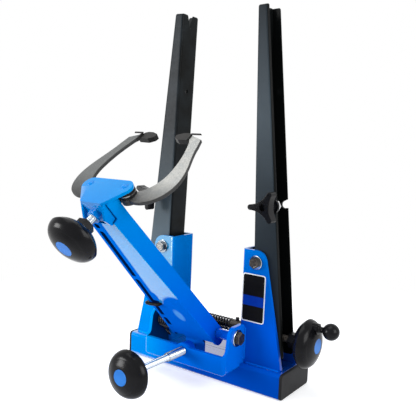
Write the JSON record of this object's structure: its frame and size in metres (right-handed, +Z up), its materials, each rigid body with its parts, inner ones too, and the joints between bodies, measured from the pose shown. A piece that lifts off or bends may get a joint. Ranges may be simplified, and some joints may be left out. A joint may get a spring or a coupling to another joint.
{
  "type": "bicycle wheel truing stand",
  "caption": "Bench stand that holds a wheel by its axle between two screw-driven uprights, with a tilting arm whose screw-closed calipers feel the rim.",
  "frame": {"origin": "on the bench, midway between the two bench bolts, under the wheel's axle", "axes": "+X to the stand's right (crank side), +Y to the back, +Z up"},
  "size_m": [0.2686, 0.2781, 0.4202],
  "materials": {
    "blue_enamel": "gloss",
    "black_enamel": "satin",
    "cast_grey": "sand cast",
    "zinc_steel": "bright",
    "dark_steel": "blackened",
    "spring_steel": "oiled",
    "black_plastic": "gloss",
    "cap_plastic": "matte"
  },
  "bodies": {
    "stand": {"base_tube": "blue_enamel", "yoke": "blue_enamel", "radial_boss": "blue_enamel", "hinge_bolt": "dark_steel", "hinge_nut": "zinc_steel", "hinge_sleeve": "blue_enamel", "return_spring": "spring_steel", "lead_spring": "spring_steel", "end_cap_right": "cap_plastic", "bracket_right": "blue_enamel", "pivot_bolt_right": "dark_steel", "pivot_nut_right": "zinc_steel", "pivot_washers_right": "zinc_steel", "pivot_spacers_right": "cap_plastic", "end_cap_left": "cap_plastic", "bracket_left": "blue_enamel", "pivot_bolt_left": "dark_steel", "pivot_nut_left": "zinc_steel", "pivot_washers_left": "zinc_steel", "pivot_spacers_left": "cap_plastic"},
    "upright_right": {"upright_right": "black_enamel", "stud_nut_right": "zinc_steel"},
    "trunnion_right": {"trunnion_nut_right": "dark_steel"},
    "lobed_knob_right": {"lobed_knob_right": "black_plastic"},
    "upright_left": {"upright_left": "black_enamel", "stud_nut_left": "zinc_steel"},
    "trunnion_left": {"trunnion_nut_left": "dark_steel"},
    "lobed_knob_left": {"lobed_knob_left": "black_plastic"},
    "lead_screw": {"lead_screw": "zinc_steel", "crank_knob": "black_plastic", "crank_disc": "cap_plastic", "spinner_pin": "zinc_steel"},
    "spinner": {"spinner_handle": "black_plastic"},
    "radial_nose": {"radial_tip": "zinc_steel"},
    "radial_screw": {"radial_screw": "zinc_steel", "radial_knob": "black_plastic", "radial_disc": "cap_plastic"},
    "arm": {"caliper_arm": "blue_enamel", "head_bracket": "blue_enamel", "caliper_nut": "zinc_steel", "caliper_rivet_right": "zinc_steel", "caliper_spacers_right": "cap_plastic", "caliper_ring_right": "zinc_steel", "caliper_rivet_left": "zinc_steel", "caliper_spacers_left": "cap_plastic", "caliper_ring_left": "zinc_steel"},
    "caliper_right": {"caliper_right": "cast_grey", "caliper_tip_right": "dark_steel", "tip_pin_right": "dark_steel"},
    "caliper_left": {"caliper_left": "cast_grey", "caliper_tip_left": "dark_steel", "tip_pin_left": "dark_steel"},
    "plunger": {"plunger": "zinc_steel", "caliper_spring": "spring_steel"},
    "caliper_screw": {"caliper_screw": "zinc_steel", "caliper_knob": "black_plastic", "caliper_disc": "cap_plastic"}
  },
  "joints": [
    {"name": "lead_screw_turn", "type": "hinge", "parent": "stand", "child": "lead_screw", "pos_m": [0, 0, 0.06], "axis": [1, 0, 0], "range_deg": [-483, 1941], "deforming": ["lead_spring"]},
    {"name": "upright_right_swing", "type": "hinge", "parent": "stand", "child": "upright_right", "pos_m": [0.0666, 0, 0.1435], "axis": [0, 1, 0], "range_deg": [-2.77, 11.11]},
    {"name": "trunnion_right_pin", "type": "hinge", "parent": "upright_right", "child": "trunnion_right", "pos_m": [0.076, 0, 0.06], "axis": [0, -1, 0], "range_deg": [-2.77, 11.11]},
    {"name": "lobed_knob_right_turn", "type": "hinge", "parent": "upright_right", "child": "lobed_knob_right", "pos_m": [0.08041, -0.0153, 0.20655], "axis": [0, 1, 0], "continuous": true},
    {"name": "upright_left_swing", "type": "hinge", "parent": "stand", "child": "upright_left", "pos_m": [-0.0666, 0, 0.1435], "axis": [0, -1, 0], "range_deg": [-2.77, 11.11]},
    {"name": "trunnion_left_pin", "type": "hinge", "parent": "upright_left", "child": "trunnion_left", "pos_m": [-0.076, 0, 0.06], "axis": [0, 1, 0], "range_deg": [-2.77, 11.11]},
    {"name": "lobed_knob_left_turn", "type": "hinge", "parent": "upright_left", "child": "lobed_knob_left", "pos_m": [-0.08041, -0.0153, 0.20655], "axis": [0, 1, 0], "continuous": true},
    {"name": "spinner_turn", "type": "hinge", "parent": "lead_screw", "child": "spinner", "pos_m": [0.136, 0, 0.079], "axis": [1, 0, 0], "continuous": true},
    {"name": "radial_nose_slide", "type": "slide", "parent": "stand", "child": "radial_nose", "axis": [0, 1, 0], "range_m": [-0.00462, 0.01345]},
    {"name": "radial_screw_turn", "type": "hinge", "parent": "radial_nose", "child": "radial_screw", "pos_m": [0, -0.06, 0.0385], "axis": [0, 1, 0], "range_deg": [-1105.84, 3225.37]},
    {"name": "arm_tilt", "type": "hinge", "parent": "stand", "child": "arm", "pos_m": [0, -0.036, 0.06], "axis": [1, 0, 0], "range_deg": [-12.02, 35.02]},
    {"name": "plunger_slide", "type": "slide", "parent": "arm", "child": "plunger", "axis": [0, 0.809, 0.5878], "range_m": [-0.00217, 0.0038]},
    {"name": "caliper_screw_turn", "type": "hinge", "parent": "plunger", "child": "caliper_screw", "pos_m": [0, -0.19508, 0.20433], "axis": [0, 0.809, 0.5878], "range_deg": [-519.41, 908.97]},
    {"name": "caliper_right_swing", "type": "hinge", "parent": "arm", "child": "caliper_right", "pos_m": [0.0217, -0.17439, 0.21924], "axis": [0, 0.5878, -0.809], "range_deg": [-8.02, 14.02], "deforming": ["caliper_spring"]},
    {"name": "caliper_left_swing", "type": "hinge", "parent": "arm", "child": "caliper_left", "pos_m": [-0.0217, -0.17439, 0.21924], "axis": [0, -0.5878, 0.809], "range_deg": [-8.02, 14.02]}
  ],
  "couplings": [
    {"joint": "upright_right_swing", "follows": "lead_screw_turn", "ratio": 0.0057181},
    {"joint": "trunnion_right_pin", "follows": "lead_screw_turn", "ratio": 0.0057181},
    {"joint": "upright_left_swing", "follows": "lead_screw_turn", "ratio": 0.0057181},
    {"joint": "trunnion_left_pin", "follows": "lead_screw_turn", "ratio": 0.0057181},
    {"joint": "radial_nose_slide", "follows": "radial_screw_turn", "m_per_rad": 0.00023873},
    {"joint": "arm_tilt", "follows": "radial_screw_turn", "ratio": 0.010851},
    {"joint": "plunger_slide", "follows": "caliper_screw_turn", "m_per_rad": 0.00023873},
    {"joint": "caliper_right_swing", "follows": "caliper_screw_turn", "ratio": 0.015402},
    {"joint": "caliper_left_swing", "follows": "caliper_screw_turn", "ratio": 0.015402}
  ]
}
